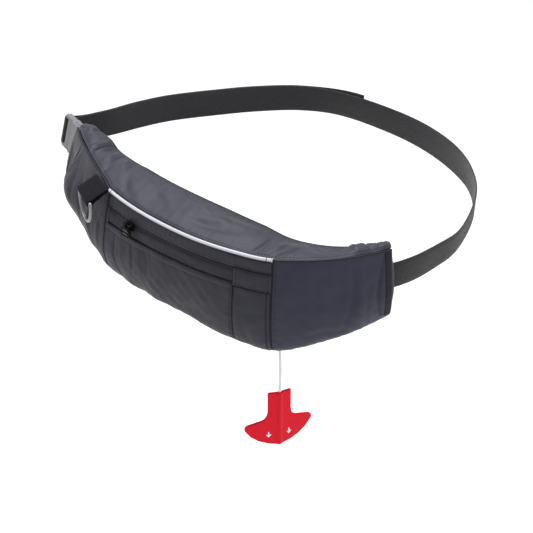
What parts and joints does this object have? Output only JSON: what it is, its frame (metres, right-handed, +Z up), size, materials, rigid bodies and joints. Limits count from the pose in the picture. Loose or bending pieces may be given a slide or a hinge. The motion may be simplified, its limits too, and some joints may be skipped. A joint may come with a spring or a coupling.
{
  "type": "inflatable belt pack",
  "caption": "Waist belt pack for flotation: a curved zip pouch over a folded air bladder, on a webbing belt with a side release buckle, a D-ring and a pull tab on a cord below",
  "frame": {"origin": "the middle of the waist, level with the middle of the belt at the pouch", "axes": "+Z up along the body, -Y towards the pouch's front, -X towards the buckle; +X is the longest extent"},
  "size_m": [0.4015, 0.3189, 0.2155],
  "materials": {
    "front_cloth": "coated woven polyester, near black",
    "wing_cloth": "coated woven polyester, near black with a cool tint",
    "gusset_cloth": "coated woven polyester, dark grey",
    "back_cloth": "woven polyester",
    "bladder": "folded coated nylon bladder, hidden in the cover",
    "reflective": "reflective woven piping",
    "webbing": "woven polyester webbing, 25 mm",
    "buckle": "moulded acetal",
    "nylon": "moulded nylon",
    "steel": "plated wire",
    "cord": "braided cord",
    "tab": "moulded red plastic"
  },
  "bodies": {
    "pack": {"upper_band": "front_cloth", "zipper": "front_cloth", "zip_run_in": "front_cloth", "zip_end_patch": "front_cloth", "pocket_panel": "front_cloth", "side_panel": "front_cloth", "left_wing": "wing_cloth", "right_wing": "wing_cloth", "top_gusset": "gusset_cloth", "underside": "gusset_cloth", "back_panel": "back_cloth", "left_end_panel": "back_cloth", "right_end_panel": "back_cloth", "folded_bladder": "bladder", "piping": "reflective", "d_ring_tape": "webbing", "belt_webbing": "webbing", "buckle_socket": "buckle", "buckle_plug": "buckle", "zip_slider": "nylon", "pull_cord": "cord", "pull_tab": "tab"},
    "d_ring": {"d_ring": "steel"},
    "zip_pull": {"zip_pull": "nylon"}
  },
  "joints": [
    {"name": "d_ring_swing", "type": "hinge", "parent": "pack", "child": "d_ring", "pos_m": [-0.09831, -0.13373, 0.03089], "axis": [-0.8535, 0.5134, 0.0886], "range_deg": [-10, 130]},
    {"name": "zip_pull_swing", "type": "hinge", "parent": "pack", "child": "zip_pull", "pos_m": [-0.0471, -0.14011, 0.02408], "axis": [-0.9867, 0.1626, -0.0073], "range_deg": [0, 110]}
  ]
}
